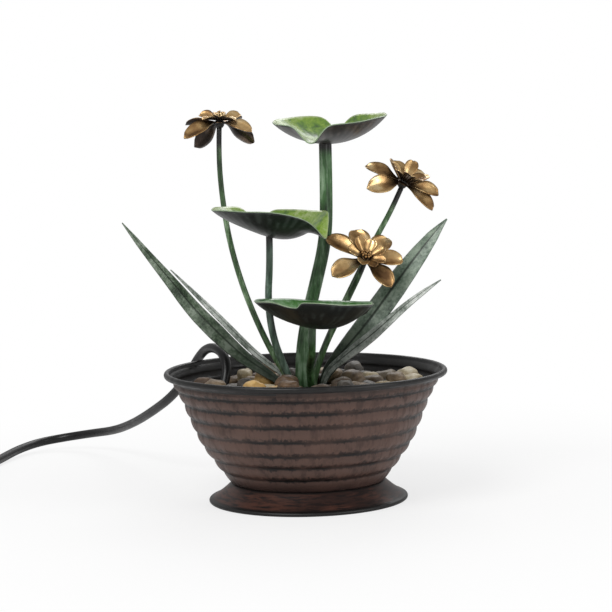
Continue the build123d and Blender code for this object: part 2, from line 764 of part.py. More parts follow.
def make_coil():
    """Outer shape of the wound cord: two turns wide, two high, and one turn on top."""
    low = coil_radii[0] - cord / 2
    high = coil_radii[-1] + cord / 2
    soft = 2.5
    lower = Rectangle(high - low, 2 * cord)
    lower = fillet(lower.vertices(), soft)
    upper = fillet(Rectangle(cord, cord + 2).vertices(), soft)
    ring = revolve(Plane.XZ * Pos((low + high) / 2, cord + 0.05) * lower, Axis.Z)
    ring += revolve(Plane.XZ * Pos(coil_top_radius, 2.5 * cord - 1 + 0.05) * upper, Axis.Z)
    return Pos(coil_centre[0], coil_centre[1], 0) * ring


def plug_front():
    return plug_tail - plug_relief - plug_length


def make_plug_body():
    x, z = plug_axis
    rear = plug_tail - plug_relief
    body = block((x - plug_width / 2, plug_front(), z - plug_height / 2),
                 (x + plug_width / 2, rear, z + plug_height / 2))
    body = fillet(body.edges().filter_by(Axis.Y), 5)
    body = fillet(body.edges().group_by(Axis.Y)[-1], 3)
    relief = Pos(x, plug_tail - plug_relief / 2, z) * Rot(-90, 0, 0) * Cone(7.0, 4.6, plug_relief)
    return body + relief


def make_plug_blades():
    x, z = plug_axis
    wide, long, tall = blade_size
    upper = z + 3.0
    return Compound(children=[
        block((x + side * blade_spacing / 2 - wide / 2, plug_front() - long, upper - tall / 2),
              (x + side * blade_spacing / 2 + wide / 2, plug_front(), upper + tall / 2)) for side in (-1, 1)])


def make_ground_pin():
    x, z = plug_axis
    height = z + 3.0 - 2 * ground_pin_drop + 2.5
    pin = Pos(x, plug_front() - ground_pin_length / 2, height) * Rot(90, 0, 0) * Cylinder(
        ground_pin_radius, ground_pin_length)
    return fillet(pin.edges().group_by(Axis.Y)[0], 1.5)


# ================================================================ write the pieces
def main():
    os.makedirs("parts", exist_ok=True)
    save(make_bowl(), "bowl")
    save(make_foot(), "foot")
    save(make_tray(), "pebble_tray")
    save(make_hub(), "hub_plate")

    main_route = main_stem_route()
    middle_route = middle_leaf_stem_route()
    low_route = low_leaf_stem_route()
    save(bent_bar(main_route, stem_tube / 2, stem_bore / 2), "water_stem")
    save(bent_bar(middle_route, leaf_rod / 2), "leaf_stem_middle")
    save(bent_bar(low_route, low_leaf_rod / 2), "leaf_stem_low")
    save(make_leaf("top", stem_tube / 2, main_route[-1]), "leaf_cup_top")
    save(make_leaf("middle", leaf_rod / 2, middle_route[-1]), "leaf_cup_middle")
    save(make_leaf("low", low_leaf_rod / 2, low_route[-1]), "leaf_cup_low")

    for name, route in flower_stem_routes().items():
        save(bent_bar(route, flower_rod / 2), f"flower_stem_{name}")
        centre, tilt_x, tilt_y, outer_lift, inner_lift = flower_places[name]
        seat = Pos(*centre) * Rot(0, tilt_y, 0) * Rot(tilt_x, 0, 0)
        save(seat * outer_petals(outer_lift), f"flower_{name}_outer_petals")
        save(seat * inner_petals(inner_lift), f"flower_{name}_inner_petals")
        save(seat * stamens(), f"flower_{name}_stamens")

    for name, blade in blade_leaves().items():
        save(blade, f"blade_{name}")

    bed = pebble_bed()
    print("stones", len(bed))
    colours = ("tan", "grey", "brown", "pale")
    for index, colour in enumerate(colours):
        stones = [make_stone(s) for s in bed[index::len(colours)]]
        save(Compound(children=stones), f"pebbles_{colour}")

    save(make_housing(), "pump_housing")
    save(core_legs(), "stator_core")
    save(coil_winding(), "stator_coil")
    save(make_potting(), "motor_potting")
    save(make_gland(), "cord_gland")
    save(make_rotor(), "rotor_magnet")
    save(make_impeller(), "impeller")
    save(make_shaft(), "rotor_shaft")
    save(make_bushes(), "shaft_bushes")
    save(make_chamber_cover(), "chamber_cover")
    save(make_o_ring(), "cover_o_ring")
    save(make_suction_cups(), "suction_cups")
    save(make_intake_cover(), "intake_cover")
    save(make_sponge(), "intake_sponge")
    save(make_gate(), "flow_gate")
    save(make_hose(), "water_hose")

    cords = [("cord_lead", cord_route, make_cord_lead()), ("cord_tail", tail_route, make_cord_tail())]
    for name, route, shape in cords:
        length = bent_path(route).length
        print(name, "length", round(length, 1), "radii", [round(r, 1) for r in corner_radii(route)],
              "volume over section times length", round(shape.volume / (math.pi * cord ** 2 / 4 * length), 4))
        save(shape, name)
    save(make_coil(), "cord_coil")
    save(make_plug_body(), "plug_body")
    save(make_plug_blades(), "plug_blades")
    save(make_ground_pin(), "plug_ground_pin")


main()
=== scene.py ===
import bmesh
import bpy
import math
import random
from mathutils import Matrix, Vector, noise


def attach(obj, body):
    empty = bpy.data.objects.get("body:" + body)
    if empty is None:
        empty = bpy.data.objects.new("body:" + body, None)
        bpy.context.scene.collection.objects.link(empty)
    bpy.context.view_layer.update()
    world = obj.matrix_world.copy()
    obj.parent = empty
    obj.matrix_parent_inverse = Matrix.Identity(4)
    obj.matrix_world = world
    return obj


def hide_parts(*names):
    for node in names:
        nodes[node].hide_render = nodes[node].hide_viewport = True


MM = 0.001
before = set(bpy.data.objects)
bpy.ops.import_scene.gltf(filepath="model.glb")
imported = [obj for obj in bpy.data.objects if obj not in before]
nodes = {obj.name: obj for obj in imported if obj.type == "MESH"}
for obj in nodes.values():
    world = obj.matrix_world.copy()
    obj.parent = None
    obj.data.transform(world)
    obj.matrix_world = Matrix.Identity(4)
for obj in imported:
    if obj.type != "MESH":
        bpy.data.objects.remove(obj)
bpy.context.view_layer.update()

# ================================ sizes in millimetres
groove_heights = [24.4, 34.4, 44.0, 55.0, 66.0, 76.3, 86.0]
groove_radii = [64.4, 71.4, 78.3, 83.6, 87.9, 92.0, 96.8]
band_bulge = 1.6                # how far a turned band stands out between its grooves
neck_radius, neck_height = 58.0, 15.0           # where the bowl's floor sits on its foot
shoulder_radius, shoulder_height = 100.2, 91.4  # where the bands end and the rim flares out
rim_radius, rim_height, rim_bead = 107.5, 98.2, 2.2
bowl_sheet = 1.2
hand_bent_from = 70.0           # height above which the rim is a little out of true
foot_radius, foot_bead, foot_opening = 75.75, 1.5, 50.0
leaf_depth, leaf_sheet = 19.0, 0.9
petal_sheet = 0.55
blade_sheet = 0.9
blade_fold = 24.0               # degrees that each half of a blade leaf is folded up
cord_radius = 3.75
stone_swell, stone_swell_up = 1.1, 1.06         # a drawn stone over its packed one, along and up


# ================================ finishes
def paint(hex_value):
    """sRGB hex colour as linear red, green, blue and a full alpha."""
    channels = [int(hex_value[i:i + 2], 16) / 255 for i in (1, 3, 5)]
    return [c / 12.92 if c <= 0.04045 else ((c + 0.055) / 1.055) ** 2.4 for c in channels] + [1.0]


def add(tree, kind, inputs=(), **settings):
    """Adds a node; inputs maps a socket's name or number to a value or to another node's output."""
    new = tree.nodes.new("ShaderNode" + kind)
    for name, value in settings.items():
        setattr(new, name, value)
    for name, value in dict(inputs).items():
        if isinstance(value, bpy.types.NodeSocket):
            tree.links.new(value, new.inputs[name])
        else:
            new.inputs[name].default_value = value
    return new


def begin(name, **surface):
    """A new material: its tree, its surface shader and the piece's own coordinates."""
    finish = bpy.data.materials.new(name)
    finish.use_nodes = True
    tree = finish.node_tree
    shader = tree.nodes["Principled BSDF"]
    for socket, value in surface.items():
        shader.inputs[socket.replace("_", " ")].default_value = value
    place = add(tree, "TexCoord").outputs["Object"]
    return finish, tree, shader, place


def grain(tree, place, grain_mm, stretch=(1, 1, 1), detail=4.0, rough=0.55, twist=0.0):
    """Cloudy pattern whose lumps are grain_mm across, drawn out by stretch."""
    spread = add(tree, "Mapping", {"Vector": place, "Scale": [1 / s for s in stretch]})
    cloud = add(tree, "TexNoise", {"Vector": spread.outputs[0], "Scale": 1 / (grain_mm * MM),
                                   "Detail": detail, "Roughness": rough, "Distortion": twist})
    return cloud.outputs[0]


def steps(tree, amount, stops):
    """Colour ramp with (position, hex colour) stops."""
    ramp = add(tree, "ValToRGB", {"Fac": amount})
    band = ramp.color_ramp
    while len(band.elements) < len(stops):
        band.elements.new(0.5)
    for element, (position, colour) in zip(band.elements, sorted(stops)):
        element.position = position
        element.color = paint(colour)
    return ramp.outputs[0]


def blend_in(tree, amount, first, second, how="MIX"):
    """Second colour over the first by amount; a string is a hex colour."""
    mix = add(tree, "Mix", {0: amount}, data_type="RGBA", blend_type=how)
    for socket, colour in ((6, first), (7, second)):
        if isinstance(colour, str):
            mix.inputs[socket].default_value = paint(colour)
        else:
            tree.links.new(colour, mix.inputs[socket])
    return mix.outputs[2]


def figure(tree, operation, *terms):
    """One sum on numbers or sockets."""
    return add(tree, "Math", enumerate(terms), operation=operation).outputs[0]


def shifted(tree, height, cloud, reach_mm):
    """Height moved up and down by a cloud around 0.5, by reach_mm from its lowest to its highest."""
    return figure(tree, "MULTIPLY_ADD", figure(tree, "SUBTRACT", cloud, 0.5), reach_mm * MM, height)


def between(tree, value, low, high, to_low=0.0, to_high=1.0):
    """Value from low..high to to_low..to_high, held at the ends."""
    spread = {"Value": value, "From Min": low, "From Max": high, "To Min": to_low, "To Max": to_high}
    return add(tree, "MapRange", spread, interpolation_type="SMOOTHSTEP").outputs[0]


def emboss(tree, shader, height, depth_mm):
    """Relief of depth_mm under the finish."""
    bump = add(tree, "Bump", {"Height": height, "Distance": depth_mm * MM, "Strength": 0.6})
    tree.links.new(bump.outputs[0], shader.inputs["Normal"])


def colour_of(tree, shader, colour):
    tree.links.new(colour, shader.inputs["Base Color"])


def antiqued_bowl_paint():
    # Brown enamel wiped over black on spun steel: black stays in the grooves, as ragged hatching
    # above them and in upright streaks.
    finish, tree, shader, place = begin("antiqued_brown_enamel_bowl", Roughness=0.5, Specular_IOR_Level=0.36)
    height = add(tree, "SeparateXYZ", {0: place}).outputs[2]
    ragged = grain(tree, place, 9.0, (1, 1, 2.0), detail=6.0, rough=0.7)
    hatching = grain(tree, place, 2.4, (1, 1, 4), detail=5.0, rough=0.6)
    line_height = shifted(tree, height, ragged, 1.4)
    hatch_height = shifted(tree, shifted(tree, height, ragged, 5.0), hatching, 8.0)
    scale = 110.0  # height in millimetres at the ramps' upper end
    brown, black, bare = "#5d463d", "#141112", "#ffffff"
    lines = [(0.0, "#1d1817"), (0.155, "#3a2b27")]
    hatches = [(0.0, bare)]
    for groove in groove_heights:
        lines += [((groove - 1.1) / scale, "#4c3831"), ((groove - 0.5) / scale, black),
                  ((groove + 0.5) / scale, black), ((groove + 1.1) / scale, brown)]
        hatches += [((groove - 1.4) / scale, bare), ((groove - 0.2) / scale, "#5e5a5c"),
                    ((groove + 1.8) / scale, "#6c6869"), ((groove + 3.4) / scale, bare)]
    under_the_rim = 0.84
    lines = [stop for stop in lines if stop[0] < under_the_rim] + [(0.86, "#121111")]
    lined = steps(tree, figure(tree, "DIVIDE", line_height, scale * MM), lines)
    hatched = steps(tree, figure(tree, "DIVIDE", hatch_height, scale * MM), hatches)
    bands = blend_in(tree, 1.0, lined, hatched, "MULTIPLY")
    streaks = grain(tree, place, 5.0, (1, 1, 8), detail=6.0, rough=0.6)
    streaked = blend_in(tree, between(tree, streaks, 0.46, 0.68, 0.0, 0.6), bands, "#2c201d")
    patches = grain(tree, place, 34.0, detail=3.0)
    warm = blend_in(tree, between(tree, patches, 0.42, 0.7, 0.0, 0.35), streaked, "#63493f")
    colour_of(tree, shader, warm)
    emboss(tree, shader, streaks, 0.25)
    tree.links.new(between(tree, streaks, 0.35, 0.7, 0.40, 0.60), shader.inputs["Roughness"])
    return finish


def antiqued_foot_paint():
    # The same enamel wiped outwards on the foot, so that its dark streaks run round and down the slope.
    finish, tree, shader, place = begin("antiqued_brown_enamel_foot", Roughness=0.42, Specular_IOR_Level=0.4)
    parts = add(tree, "SeparateXYZ", {0: place}).outputs
    rings = grain(tree, place, 4.0, (3.2, 3.2, 0.32), detail=5.0, rough=0.62)
    blotches = grain(tree, place, 22.0, (1.8, 1, 1), detail=4.0)
    base = blend_in(tree, between(tree, rings, 0.40, 0.64), "#4b2f26", "#171111")
    deep = blend_in(tree, between(tree, blotches, 0.44, 0.66, 0.0, 0.7), base, "#1c1413")
    edge = blend_in(tree, between(tree, parts[2], 3.0 * MM, 4.6 * MM, 1.0, 0.0), deep, "#100f0f")
    neck = blend_in(tree, between(tree, parts[2], 12.8 * MM, 14.8 * MM), edge, "#120f0e")
    colour_of(tree, shader, neck)
    emboss(tree, shader, rings, 0.2)
    return finish


def black_enamel(name, colour, dusty, roughness):
    # Black base coat on steel, rubbed grey on high spots.
    finish, tree, shader, place = begin(name, Roughness=roughness, Specular_IOR_Level=0.38)
    rubbed = grain(tree, place, 9.0, (1, 1, 2.0), detail=5.0)
    fine = grain(tree, place, 1.2, detail=3.0)
    colour_of(tree, shader, blend_in(tree, between(tree, rubbed, 0.5, 0.72, 0.0, 0.6), colour, dusty))
    emboss(tree, shader, fine, 0.06)
    tree.links.new(between(tree, rubbed, 0.3, 0.7, roughness - 0.06, roughness + 0.14),
                   shader.inputs["Roughness"])
    return finish


def mottled_leaf_enamel(name, bright, middle, dark, edge):
    # Translucent green enamels sponged over a pale ground inside each leaf, with a painted highlight along
    # the rim.
    finish, tree, shader, place = begin(name, Roughness=0.33, Coat_Weight=0.3, Coat_Roughness=0.18)
    dapple = grain(tree, place, 6.5, detail=7.0, rough=0.68, twist=0.4)
    cloud = grain(tree, place, 26.0, detail=3.0)
    dapple = figure(tree, "MULTIPLY_ADD", cloud, 0.45, figure(tree, "MULTIPLY", dapple, 0.62))
    rim = add(tree, "Attribute", attribute_name="edge").outputs["Fac"]
    body = steps(tree, dapple, [(0.36, dark), (0.47, middle), (0.56, bright), (0.68, edge)])
    speck = grain(tree, place, 1.6, detail=2.0)
    body = blend_in(tree, between(tree, speck, 0.62, 0.74, 0.0, 0.55), body, dark)
    # Paler towards the very rim: a painted highlight.
    rim_highlighted = blend_in(tree, between(tree, rim, 0.965, 1.0, 0.0, 0.7), body, edge)
    colour_of(tree, shader, rim_highlighted)
    emboss(tree, shader, dapple, 0.35)
    return finish


def dark_leaf_enamel(name, colour, light, green):
    # Backs of the leaves: brown black enamel, rubbed paler along pressed veins that run out to the rim.
    finish, tree, shader, place = begin(name, Roughness=0.38, Specular_IOR_Level=0.42)
    veins = add(tree, "Attribute", attribute_name="veins").outputs["Fac"]
    cloud = grain(tree, place, 12.0, detail=5.0, rough=0.6)
    lit = figure(tree, "MULTIPLY", between(tree, veins, 0.1, 1.0), between(tree, cloud, 0.42, 0.62))
    base = blend_in(tree, figure(tree, "MULTIPLY", lit, 0.7), colour, light)
    tinted = blend_in(tree, between(tree, cloud, 0.56, 0.74, 0.0, 0.6), base, green)
    colour_of(tree, shader, tinted)
    emboss(tree, shader, cloud, 0.2)
    return finish


def streaked_stem_enamel(name, dark, middle, light, dark_from, dark_to):
    # Green enamel brushed along the rods, black at the welds under leaves and flowers.
    finish, tree, shader, place = begin(name, Roughness=0.34, Specular_IOR_Level=0.45)
    streaks = grain(tree, place, 3.0, (1, 1, 9), detail=5.0, rough=0.6)
    cloud = grain(tree, place, 18.0, (1, 1, 1.6), detail=5.0)
    amount = figure(tree, "MULTIPLY_ADD", cloud, 0.6, figure(tree, "MULTIPLY", streaks, 0.45))
    body = steps(tree, amount, [(0.38, dark), (0.52, middle), (0.66, light)])
    along = add(tree, "Attribute", attribute_name="along").outputs["Fac"]
    foot = blend_in(tree, between(tree, along, 0.0, 0.30, 0.55, 0.0), body, dark)
    colour_of(tree, shader, blend_in(tree, between(tree, along, dark_from, dark_to), foot, "#1f1f1d"))
    emboss(tree, shader, streaks, 0.15)
    return finish


def blade_enamel(name, pale, middle, dark, wash=0.88):
    # Grey green enamel on folded sheet, rubbed thin towards the tips; black stays in the fold and,
    # by wash, at the base.
    finish, tree, shader, place = begin(name, Roughness=0.36, Specular_IOR_Level=0.45)
    across = add(tree, "Attribute", attribute_name="across").outputs["Fac"]
    along = add(tree, "Attribute", attribute_name="along").outputs["Fac"]
    cloud = grain(tree, place, 14.0, detail=6.0, rough=0.62)
    fine = grain(tree, place, 2.0, detail=4.0)
    amount = figure(tree, "MULTIPLY_ADD", fine, 0.3, figure(tree, "MULTIPLY", cloud, 0.72))
    body = steps(tree, amount, [(0.40, dark), (0.50, middle), (0.62, pale)])
    fold = blend_in(tree, between(tree, across, 0.03, 0.16, 0.85, 0.0), body, "#20261f")
    edge = blend_in(tree, between(tree, across, 0.90, 1.0, 0.0, 0.5), fold, "#2b302b")
    base = blend_in(tree, between(tree, along, 0.05, 0.55, wash, 0.0), edge, "#18211a")
    colour_of(tree, shader, base)
    emboss(tree, shader, amount, 0.3)
    return finish


def antiqued_gold(name, tones, wash_colour):
    # Gold bronze lacquer on stamped steel petals, dark wash left towards the middle and in patches.
    finish, tree, shader, place = begin(name, Metallic=0.8, Roughness=0.34)
    along = add(tree, "Attribute", attribute_name="along").outputs["Fac"]
    cloud = grain(tree, place, 15.0, detail=3.5, rough=0.5)
    fine = grain(tree, place, 2.5, detail=3.0)
    tone = steps(tree, cloud, list(zip((0.32, 0.44, 0.56, 0.70), tones)))
    wash = figure(tree, "ADD", between(tree, along, 0.04, 0.42, 1.0, 0.0),
                  between(tree, fine, 0.58, 0.78, 0.0, 0.25))
    colour_of(tree, shader, blend_in(tree, figure(tree, "MINIMUM", wash, 0.93), tone, wash_colour))
    tree.links.new(between(tree, cloud, 0.35, 0.7, 0.40, 0.24), shader.inputs["Roughness"])
    emboss(tree, shader, cloud, 0.2)
    return finish


def river_stone(name, dark, middle, light, seam):
    # Tumbled river pebbles: fine grained stone with soft bands, each stone its own shade.
    finish, tree, shader, place = begin(name, Roughness=0.5, Specular_IOR_Level=0.4)
    own = add(tree, "Attribute", attribute_name="shade")
    cloud = grain(tree, place, 9.0, (1, 1.6, 0.6), detail=6.0, rough=0.6)
    fine = grain(tree, place, 0.9, detail=4.0, rough=0.7)
    body = steps(tree, cloud, [(0.34, dark), (0.5, middle), (0.66, light)])
    veined = blend_in(tree, between(tree, fine, 0.5, 0.72, 0.0, 0.45), body, seam)
    colour_of(tree, shader, blend_in(tree, 1.0, veined, own.outputs["Color"], "MULTIPLY"))
    emboss(tree, shader, fine, 0.12)
    return finish


def moulded(name, colour, worn, roughness, grain_mm=0.8, depth_mm=0.03, **more):
    # Moulded, cast or sintered pieces with the fine texture of their mould.
    finish, tree, shader, place = begin(name, Roughness=roughness, **more)
    texture = grain(tree, place, grain_mm, detail=3.0)
    cloud = grain(tree, place, 15.0, detail=4.0)
    colour_of(tree, shader, blend_in(tree, between(tree, cloud, 0.45, 0.7, 0.0, 0.6), colour, worn))
    emboss(tree, shader, texture, depth_mm)
    tree.links.new(between(tree, cloud, 0.3, 0.7, roughness - 0.05, roughness + 0.08),
                   shader.inputs["Roughness"])
    return finish


def laminated_steel():
    # Stacked 0.5 mm steel plates, their cut edges showing as lines, drawn 1 mm apart so that they show.
    finish, tree, shader, place = begin("laminated_electrical_steel", Metallic=0.85, Roughness=0.42)
    plates = add(tree, "TexWave", {"Vector": place, "Scale": 50.0, "Distortion": 0.4},
                 bands_direction="Y").outputs[1]
    colour_of(tree, shader, blend_in(tree, plates, "#4b4b4e", "#8a8a8c"))
    emboss(tree, shader, plates, 0.1)
    return finish


def wound_copper():
    # Enamelled copper wire wound side by side, 0.6 mm wire drawn 1 mm apart so that it shows.
    finish, tree, shader, place = begin("enamelled_copper_wire", Metallic=0.8, Roughness=0.3)
    wires = add(tree, "TexWave", {"Vector": place, "Scale": 50.0, "Distortion": 0.3},
                bands_direction="X").outputs[1]
    colour_of(tree, shader, blend_in(tree, wires, "#6d3418", "#c97f4c"))
    emboss(tree, shader, wires, 0.3)
    return finish


def open_foam():
    # Open cell filter foam, cells about 1 mm.
    finish, tree, shader, place = begin("open_cell_filter_foam", Roughness=0.9)
    cells = add(tree, "TexVoronoi", {"Vector": place, "Scale": 900.0}).outputs[0]
    colour_of(tree, shader, blend_in(tree, between(tree, cells, 0.1, 0.6), "#060607", "#2c2c30"))
    emboss(tree, shader, cells, 0.6)
    return finish


bowl_paint = antiqued_bowl_paint()
foot_paint = antiqued_foot_paint()
rim_enamel = black_enamel("black_enamel_rim", "#0f0e0e", "#2b2826", 0.36)
inside_enamel = black_enamel("black_enamel_inside", "#0d0a0a", "#1f1715", 0.46)
leaf_inside = mottled_leaf_enamel("mottled_leaf_green", "#7a9733", "#567a2b", "#385022", "#a3b37c")
low_leaf_inside = mottled_leaf_enamel("mottled_leaf_deep_green", "#447a33", "#2d5526", "#162a16", "#7c9a78")
leaf_back = dark_leaf_enamel("leaf_back_brown_black", "#232020", "#4d4744", "#2f3630")
leaf_back_green = dark_leaf_enamel("leaf_back_green_black", "#141715", "#3a403c", "#1b261f")
# Pale colour on the cut edges of the leaf sheets: a painted highlight along the leaf rims.
rim_highlight_finish = moulded("painted_highlight_on_leaf_edges", "#8ea283", "#5b6c54", 0.35)
water_stem_paint = streaked_stem_enamel("water_stem_green", "#1b2e19", "#44693f", "#9bb698", 0.94, 0.975)
low_rod_paint = streaked_stem_enamel("low_rod_dark_green", "#16240f", "#2b4a25", "#5a7f52", 0.95, 1.0)
middle_rod_paint = streaked_stem_enamel("leaf_rod_blue_green", "#1f2d24", "#44594b", "#7e9587", 0.90, 0.98)
flower_rod_paint = streaked_stem_enamel("flower_rod_green", "#1a2918", "#47663f", "#a3bd98", 0.88, 0.95)
blade_paint = blade_enamel("blade_grey_green", "#9fae9c", "#748575", "#455446")
blade_paint_dark = blade_enamel("blade_deep_green", "#8b9787", "#53644f", "#2c3a2a")
slim_paint = blade_enamel("slim_blade_grey", "#d6dad4", "#abb3aa", "#6b756b", 0.4)
gold = antiqued_gold("antiqued_gold_petals", ("#694d31", "#a38054", "#d1af7a", "#f0dab0"), "#2e2018")
# Petal backs: the same gold in darker tones, as painted shade on the undersides.
shaded_gold_back = antiqued_gold("gold_petal_backs_painted_shade", ("#231e1b", "#362d27", "#50443a", "#6f5d4c"),
                          "#171311")
dark_boss = black_enamel("black_flower_boss", "#1b1918", "#3a332c", 0.4)
cord_rubber = moulded("cord_pvc_black", "#0d0d0e", "#19191b", 0.36, 3.0, 0.02, Specular_IOR_Level=0.4)
plug_plastic = moulded("plug_pvc_black", "#19191b", "#29292b", 0.42, 0.7, 0.03)
plug_metal = moulded("nickel_plated_brass_blades", "#c9bb93", "#a5976d", 0.24, 0.6, 0.01, Metallic=0.95)
tray_plastic = moulded("tray_polypropylene_black", "#1d1c1b", "#2c2a28", 0.5)
hub_paint = moulded("hub_plate_dark_green", "#1d241d", "#2f372c", 0.42)
pump_plastic = moulded("pump_abs_black", "#151516", "#242426", 0.45, 0.6, 0.04)
impeller_plastic = moulded("impeller_acetal_white", "#d8d8d1", "#c3c3ba", 0.3)
potting = moulded("potting_epoxy_black", "#121213", "#1d1d1f", 0.22)
ferrite = moulded("ground_ferrite", "#242427", "#3a3a3e", 0.35, 0.4, 0.01)
ceramic = moulded("ground_alumina", "#e6e3db", "#d6d2c7", 0.2, 0.4, 0.01)
rubber = moulded("moulded_nitrile_rubber", "#161617", "#232324", 0.55)
silicone = moulded("clear_grey_silicone_hose", "#b4b8b2", "#9ea39c", 0.35)


# ================================ making pieces
def put_in_scene(name, data):
    """A new object for that mesh, curve, lamp or camera."""
    thing = bpy.data.objects.new(name, data)
    bpy.context.scene.collection.objects.link(thing)
    return thing


def turned_by(degrees, axis):
    return Matrix.Rotation(math.radians(degrees), 4, axis)


def piece(work, name, body, finishes, replaced):
    """Turns a finished bmesh, in millimetres, into a piece of the fountain."""
    bmesh.ops.scale(work, vec=(MM, MM, MM), verts=work.verts)
    mesh = bpy.data.meshes.new(name)
    work.to_mesh(mesh)
    work.free()
    mesh.shade_smooth()
    thing = put_in_scene(name, mesh)
    for finish in finishes:
        mesh.materials.append(finish)
    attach(thing, body)
    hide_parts(*replaced)
    return thing


def lathe(outline, turns):
    """Spins an outline of (radius, height) points about the upright axis."""
    work = bmesh.new()
    ring = [work.verts.new((r, 0, z)) for r, z in outline]
    edges = [work.edges.new(pair) for pair in zip(ring, ring[1:])]
    bmesh.ops.spin(work, geom=ring + edges, cent=(0, 0, 0), axis=(0, 0, 1), angle=math.tau, steps=turns,
                   use_merge=True)
    bmesh.ops.remove_doubles(work, verts=work.verts, dist=0.002)
    bmesh.ops.recalc_face_normals(work, faces=work.faces)
    return work


def smooth_curve(name, points, resolution):
    """Curve with one smooth spline that those points control."""
    curve = bpy.data.curves.new(name, "CURVE")
    curve.dimensions = "3D"
    spline = curve.splines.new("NURBS")
    spline.points.add(len(points) - 1)
    for spot, (x, y, z) in zip(spline.points, points):
        spot.co = (x, y, z, 1)
    spline.order_u = 3
    spline.use_endpoint_u = True
    spline.resolution_u = resolution
    return curve


def smooth_line(points):
    """Points along the smooth spline that those points control."""
    curve = smooth_curve("line", points, 12)
    holder = bpy.data.objects.new("line", curve)
    mesh = bpy.data.meshes.new_from_object(holder)
    line = [v.co.copy() for v in mesh.vertices]
    bpy.data.objects.remove(holder)
    bpy.data.curves.remove(curve)
    bpy.data.meshes.remove(mesh)
    return line


def even_line(points, count):
    """That many evenly spaced points on the smooth spline, first and last kept."""
    line = smooth_line(points)
    reach = [0.0]
    for a, b in zip(line, line[1:]):
        reach.append(reach[-1] + (b - a).length)
    even = []
    index = 0
    for step in range(count):
        want = reach[-1] * step / (count - 1)
        while index < len(line) - 2 and reach[index + 1] < want:
            index += 1
        share = (want - reach[index]) / max(reach[index + 1] - reach[index], 1e-9)
        even.append(line[index].lerp(line[index + 1], min(1.0, max(0.0, share))))
    return even


def headings(line):
    """Unit direction at every point of a line."""
    last = len(line) - 1
    return [(line[min(i + 1, last)] - line[max(i - 1, 0)]).normalized() for i in range(last + 1)]


def values_on(work, name):
    """A value at every point, which the materials read by its name."""
    return work.verts.layers.float.new(name)


def press_from_sheet(thing, thickness, offset, back=0, edge=0):
    """Gives a surface its sheet's thickness; back and edge count on from the front's material."""
    sheet = thing.modifiers.new("sheet", "SOLIDIFY")
    sheet.thickness = thickness * MM
    sheet.offset = offset
    sheet.material_offset = back
    sheet.material_offset_rim = edge


def rod(name, route, radius, finish, replaced, sides=24, rows=80, flutes=0, flute_depth=0.0, flare=0.0):
    """Round or fluted rod along a smooth route, widened towards its foot by flare."""
    line = even_line(route, rows)
    ways = headings(line)
    work = bmesh.new()
    along = values_on(work, "along")
    side = Vector((1, 0, 0))
    rims = []
    for index, (spot, way) in enumerate(zip(line, ways)):
        side = (side - way * side.dot(way)).normalized()
        other = way.cross(side)
        share = index / (rows - 1)
        made = bmesh.ops.create_circle(work, segments=sides, radius=1.0)["verts"]
        for vert in made:
            angle = math.atan2(vert.co.y, vert.co.x)
            bulge = 1 - flute_depth * (0.5 + 0.5 * math.cos(flutes * angle)) ** 6 if flutes else 1
            size = radius * bulge * (1 + flare * (1 - share))
            vert.co = spot + side * (size * math.cos(angle)) + other * (size * math.sin(angle))
            vert[along] = share
        rims.append(list({edge for vert in made for edge in vert.link_edges}))
    for before, after in zip(rims, rims[1:]):
        bmesh.ops.bridge_loops(work, edges=before + after)
    ends = [e for e in work.edges if e.is_boundary]
    bmesh.ops.holes_fill(work, edges=ends, sides=0)
    bmesh.ops.recalc_face_normals(work, faces=work.faces)
    return piece(work, name, "display", [finish], replaced)


# ================================ bowl and foot
def wall(inset):
    """Band by band outline of the bowl's wall, from the floor up."""
    radii = [neck_radius] + groove_radii + [shoulder_radius]
    heights = [neck_height + inset] + groove_heights + [shoulder_height]
    per_band, roundness = 8, 0.72
    outline = []
    for k in range(len(radii) - 1):
        r0, z0, r1, z1 = radii[k] - inset, heights[k], radii[k + 1] - inset, heights[k + 1]
        run = math.hypot(r1 - r0, z1 - z0)
        out = band_bulge if k else band_bulge / 2
        for step in range(per_band):
            share = step / per_band
            bow = out * math.sin(math.pi * share) ** roundness
            outline.append((r0 + (r1 - r0) * share + bow * (z1 - z0) / run,
                            z0 + (z1 - z0) * share - bow * (r1 - r0) / run))
    outline.append((radii[-1] - inset, heights[-1]))
    return outline


def make_bowl():
    """Spun bowl with its turned bands and rolled rim."""
    centre = (rim_radius - rim_bead, rim_height - rim_bead)
    outer = wall(0.0)
    inner = wall(bowl_sheet)
    lip = [(centre[0] + rim_bead * math.cos(a), centre[1] + rim_bead * math.sin(a))
           for a in [math.radians(-125 + 22 * k) for k in range(15)]]
    flare_out = [(102.3, 93.0), (103.3, 93.9)]
    flare_in = [(102.2, 95.2), (100.8, 93.8)]
    outline = ([(0, neck_height)] + outer + flare_out + lip + flare_in + inner[::-1]
               + [(0, neck_height + bowl_sheet)])
    work = lathe(outline, 240)
    # Worked by hand: shallow dents in the wall, and a rim that rises behind and on the left.
    dent, rise_behind, rise_left = 0.22, 1.6, 0.7
    for vert in work.verts:
        flat = Vector((vert.co.x, vert.co.y, 0))
        if flat.length > 60 and vert.co.z < 92:
            vert.co += flat.normalized() * (noise.noise(vert.co * 0.11) * dent)
        if vert.co.z > hand_bent_from:
            rise = rise_behind * (1 + vert.co.y / rim_radius) - rise_left * vert.co.x / rim_radius
            vert.co.z += max(0.0, rise) * (vert.co.z - hand_bent_from) / 28
    for face in work.faces:
        middle = face.calc_center_median()
        outward = face.normal.dot(Vector((middle.x, middle.y, 0)).normalized())
        if middle.z > shoulder_height + 1.0:
            face.material_index = 1
        elif outward < 0 or (middle.z > neck_height + bowl_sheet / 2 and face.normal.z > 0.6):
            face.material_index = 2
    finishes = [bowl_paint, rim_enamel, inside_enamel]
    piece(work, "ribbed_bowl", "base", finishes, ["bowl"])


